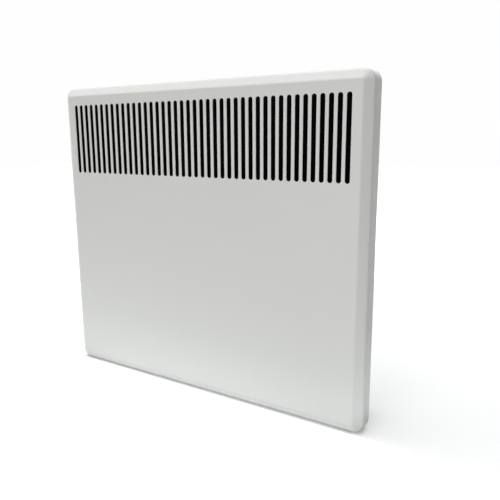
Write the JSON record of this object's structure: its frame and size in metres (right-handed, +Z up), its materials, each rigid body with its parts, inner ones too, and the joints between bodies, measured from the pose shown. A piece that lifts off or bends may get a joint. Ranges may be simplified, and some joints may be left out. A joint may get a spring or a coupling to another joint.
{
  "type": "wall panel convector heater",
  "caption": "Slim wall convector heater with a bevelled sheet cover, an upper slotted grille, a finned element, side controls and a latching wall bracket.",
  "frame": {"origin": "centre of the base, under the middle of the overall depth", "axes": "+X to the viewer's right along the width, +Y from the front cover back to the wall, +Z up"},
  "size_m": [0.46, 0.08, 0.4],
  "materials": {
    "white_coat": "satin powder coat, faint warm white",
    "black_coat": "matt heat-resistant black",
    "galvanised": "galvanised sheet",
    "bright_sheet": "bright aluminised sheet",
    "zinc_plate": "zinc plated",
    "element_aluminium": "mill-finish extrusion",
    "element_steel": "stainless, lightly heat tinted",
    "brass": "plain brass",
    "ceramic": "unglazed white steatite",
    "dark_plastic": "fine moulded grain",
    "white_plastic": "plain moulded",
    "lamp_plastic": "glossy amber red",
    "rubber": "soft matt",
    "brown_sleeve": "silicone sleeve",
    "blue_sleeve": "silicone sleeve",
    "green_sleeve": "silicone sleeve"
  },
  "bodies": {
    "heater": {"front_cover": "white_coat", "cover_screw_1": "zinc_plate", "cover_screw_2": "zinc_plate", "cover_screw_3": "zinc_plate", "cover_screw_4": "zinc_plate", "cover_screw_5": "zinc_plate", "cover_screw_6": "zinc_plate", "rear_casing": "white_coat", "air_guide": "black_coat", "guide_screw_1": "zinc_plate", "guide_screw_2": "zinc_plate", "guide_screw_3": "zinc_plate", "heat_shield": "bright_sheet", "shield_screw_1": "zinc_plate", "shield_screw_2": "zinc_plate", "shield_screw_3": "zinc_plate", "shield_screw_4": "zinc_plate", "control_partition": "galvanised", "partition_screw_1": "zinc_plate", "partition_screw_2": "zinc_plate", "element_bracket": "galvanised", "bracket_screw_1": "zinc_plate", "bracket_screw_2": "zinc_plate", "element_diffuser": "element_aluminium", "element_rod": "element_steel", "insulator_left": "ceramic", "insulator_right": "ceramic", "element_terminal_left": "brass", "element_terminal_right": "brass", "thermal_cutout": "dark_plastic", "control_housing": "dark_plastic", "housing_screw_1": "zinc_plate", "housing_screw_2": "zinc_plate", "thermostat_body": "white_plastic", "switch_body": "dark_plastic", "pilot_lamp": "lamp_plastic", "cable_gland": "dark_plastic", "gland_nut": "dark_plastic", "terminal_block": "white_plastic", "block_screw": "zinc_plate", "earth_screw": "brass", "supply_lead": "brown_sleeve", "switch_lead": "brown_sleeve", "thermostat_lead": "brown_sleeve", "element_lead": "brown_sleeve", "return_lead": "blue_sleeve", "earth_lead": "green_sleeve", "wall_bracket": "galvanised", "latch_rivet_left": "brass", "latch_rivet_right": "brass", "wall_spacer_left": "rubber", "wall_spacer_right": "rubber"},
    "knob": {"thermostat_knob": "dark_plastic", "thermostat_spindle": "element_steel"},
    "rocker": {"switch_rocker": "lamp_plastic"},
    "left_latch": {"latch_left": "dark_plastic"},
    "right_latch": {"latch_right": "dark_plastic"}
  },
  "joints": [
    {"name": "thermostat_turn", "type": "hinge", "parent": "heater", "child": "knob", "pos_m": [-0.213, 0.006, 0.134], "axis": [-1, 0, 0], "range_deg": [0, 270]},
    {"name": "power_rocker", "type": "hinge", "parent": "heater", "child": "rocker", "pos_m": [-0.209, 0.006, 0.09], "axis": [0, -1, 0], "range_deg": [0, 16]},
    {"name": "left_latch_turn", "type": "hinge", "parent": "heater", "child": "left_latch", "pos_m": [-0.12, 0.035, 0.345], "axis": [0, 1, 0], "range_deg": [0, 90]},
    {"name": "right_latch_turn", "type": "hinge", "parent": "heater", "child": "right_latch", "pos_m": [0.12, 0.035, 0.345], "axis": [0, 1, 0], "range_deg": [-90, 0]}
  ]
}
